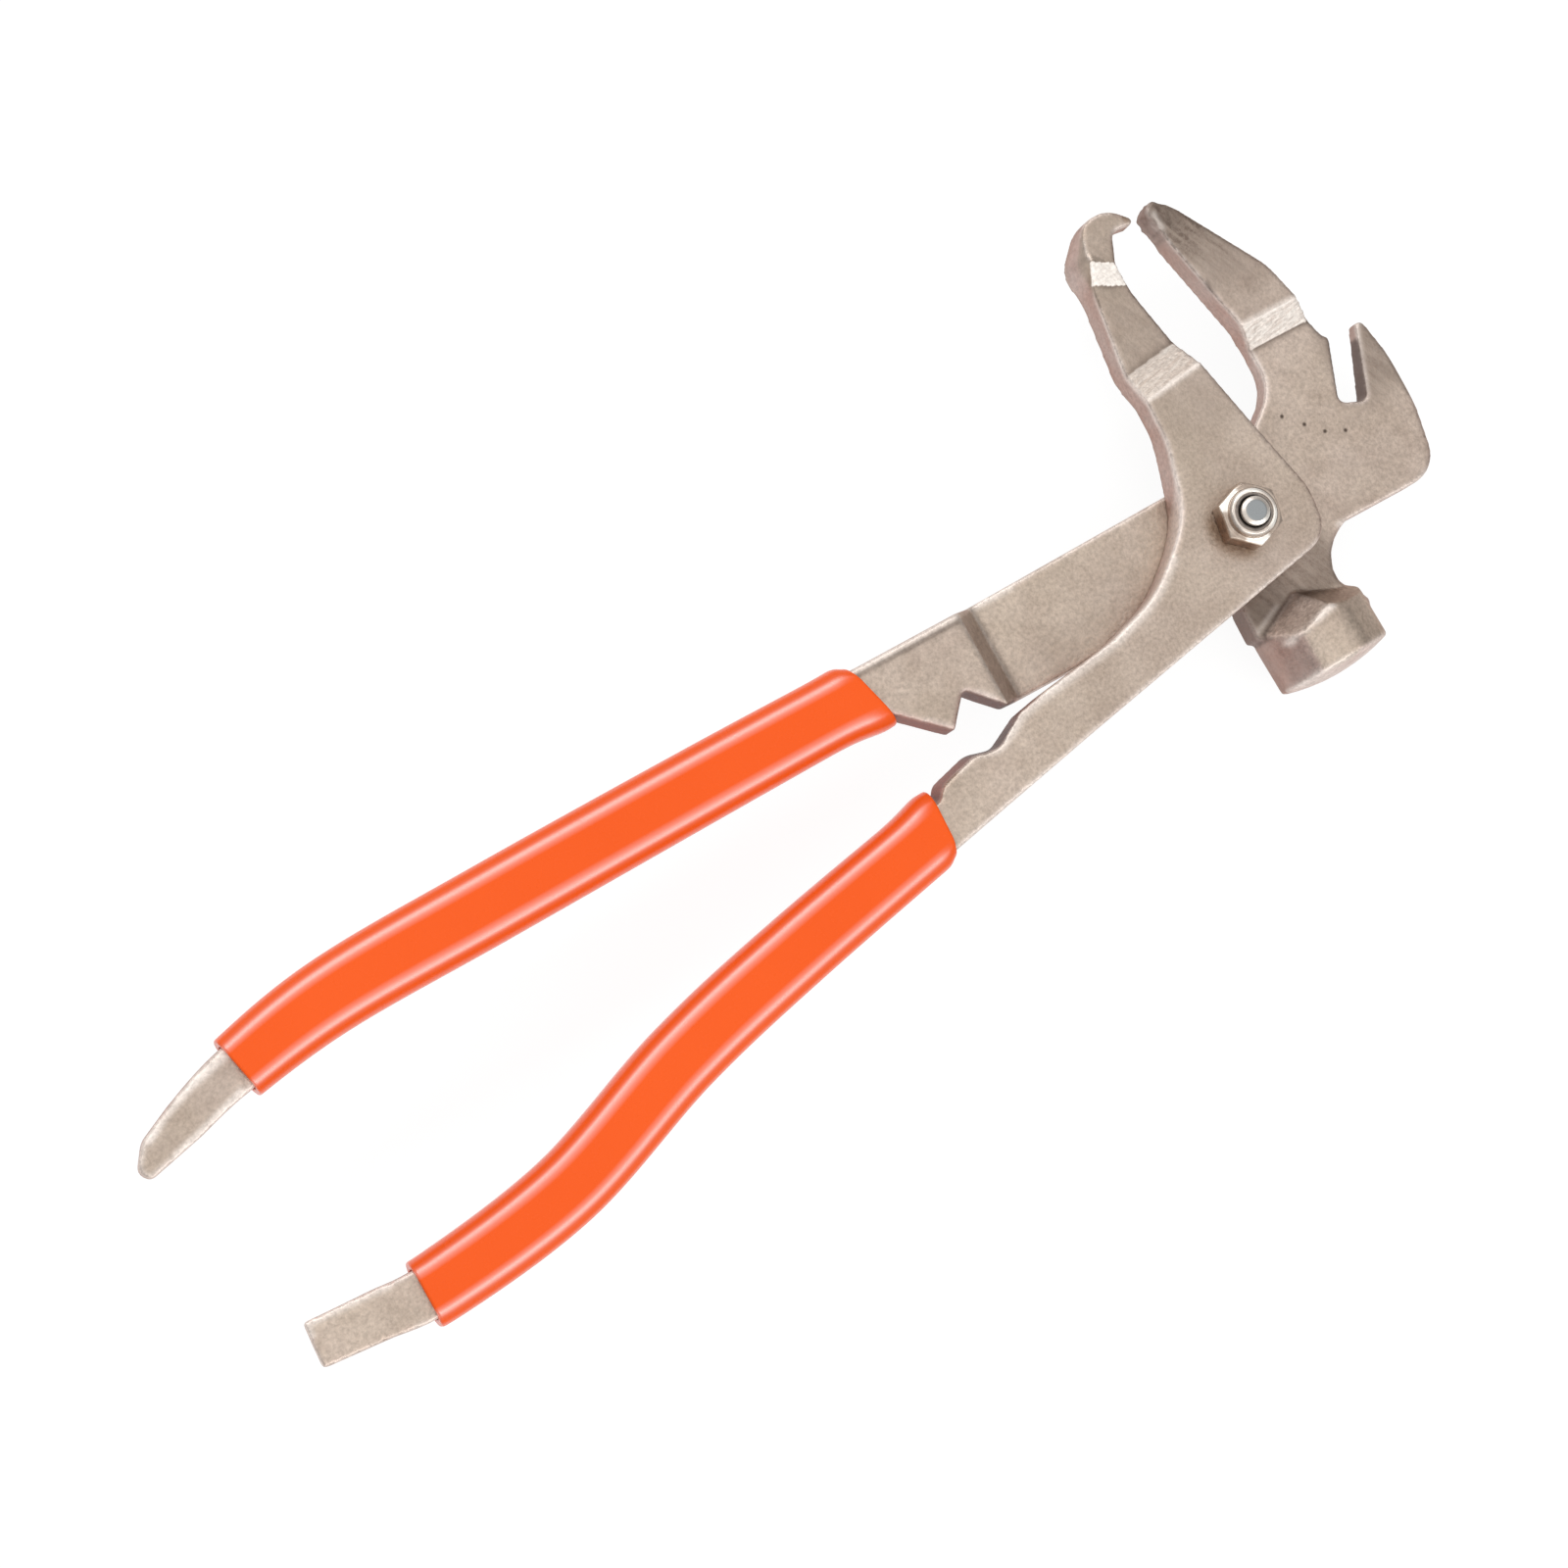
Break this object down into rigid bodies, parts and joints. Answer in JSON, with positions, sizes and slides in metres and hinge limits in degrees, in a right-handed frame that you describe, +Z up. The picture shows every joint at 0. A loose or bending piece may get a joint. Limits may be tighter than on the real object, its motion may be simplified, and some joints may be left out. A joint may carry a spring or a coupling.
{
  "type": "wheel weight pliers",
  "caption": "Hand pliers for fitting and removing clip-on wheel weights, with a hooked jaw, a hammer head, a nail claw, a clip cutter and dipped grips.",
  "frame": {"origin": "middle of the pliers' box, on the surface that they lie on", "axes": "+X from the grips towards the head, +Y towards the jaws' tips, +Z up through the pivot towards the nut"},
  "size_m": [0.2574, 0.1116, 0.0285],
  "materials": {
    "forged_steel": "satin nickel plate over a drop forging, with ground bands at the steps",
    "zinc_plate": "bright zinc plate",
    "nylon": "nylon locking ring",
    "dipped_vinyl": "smooth glossy orange vinyl, dipped"
  },
  "bodies": {
    "hammer_side": {"hammer_lever": "forged_steel", "pivot_bolt": "zinc_plate", "lock_nut": "zinc_plate", "nut_ring": "nylon", "hammer_grip": "dipped_vinyl"},
    "jaw_side": {"jaw_lever": "forged_steel", "jaw_grip": "dipped_vinyl"}
  },
  "joints": [
    {"name": "jaw_pivot", "type": "hinge", "parent": "hammer_side", "child": "jaw_side", "pos_m": [0.08745, -0.00274, 0.01783], "axis": [0, 0, 1], "range_deg": [-1.5, 36]}
  ]
}
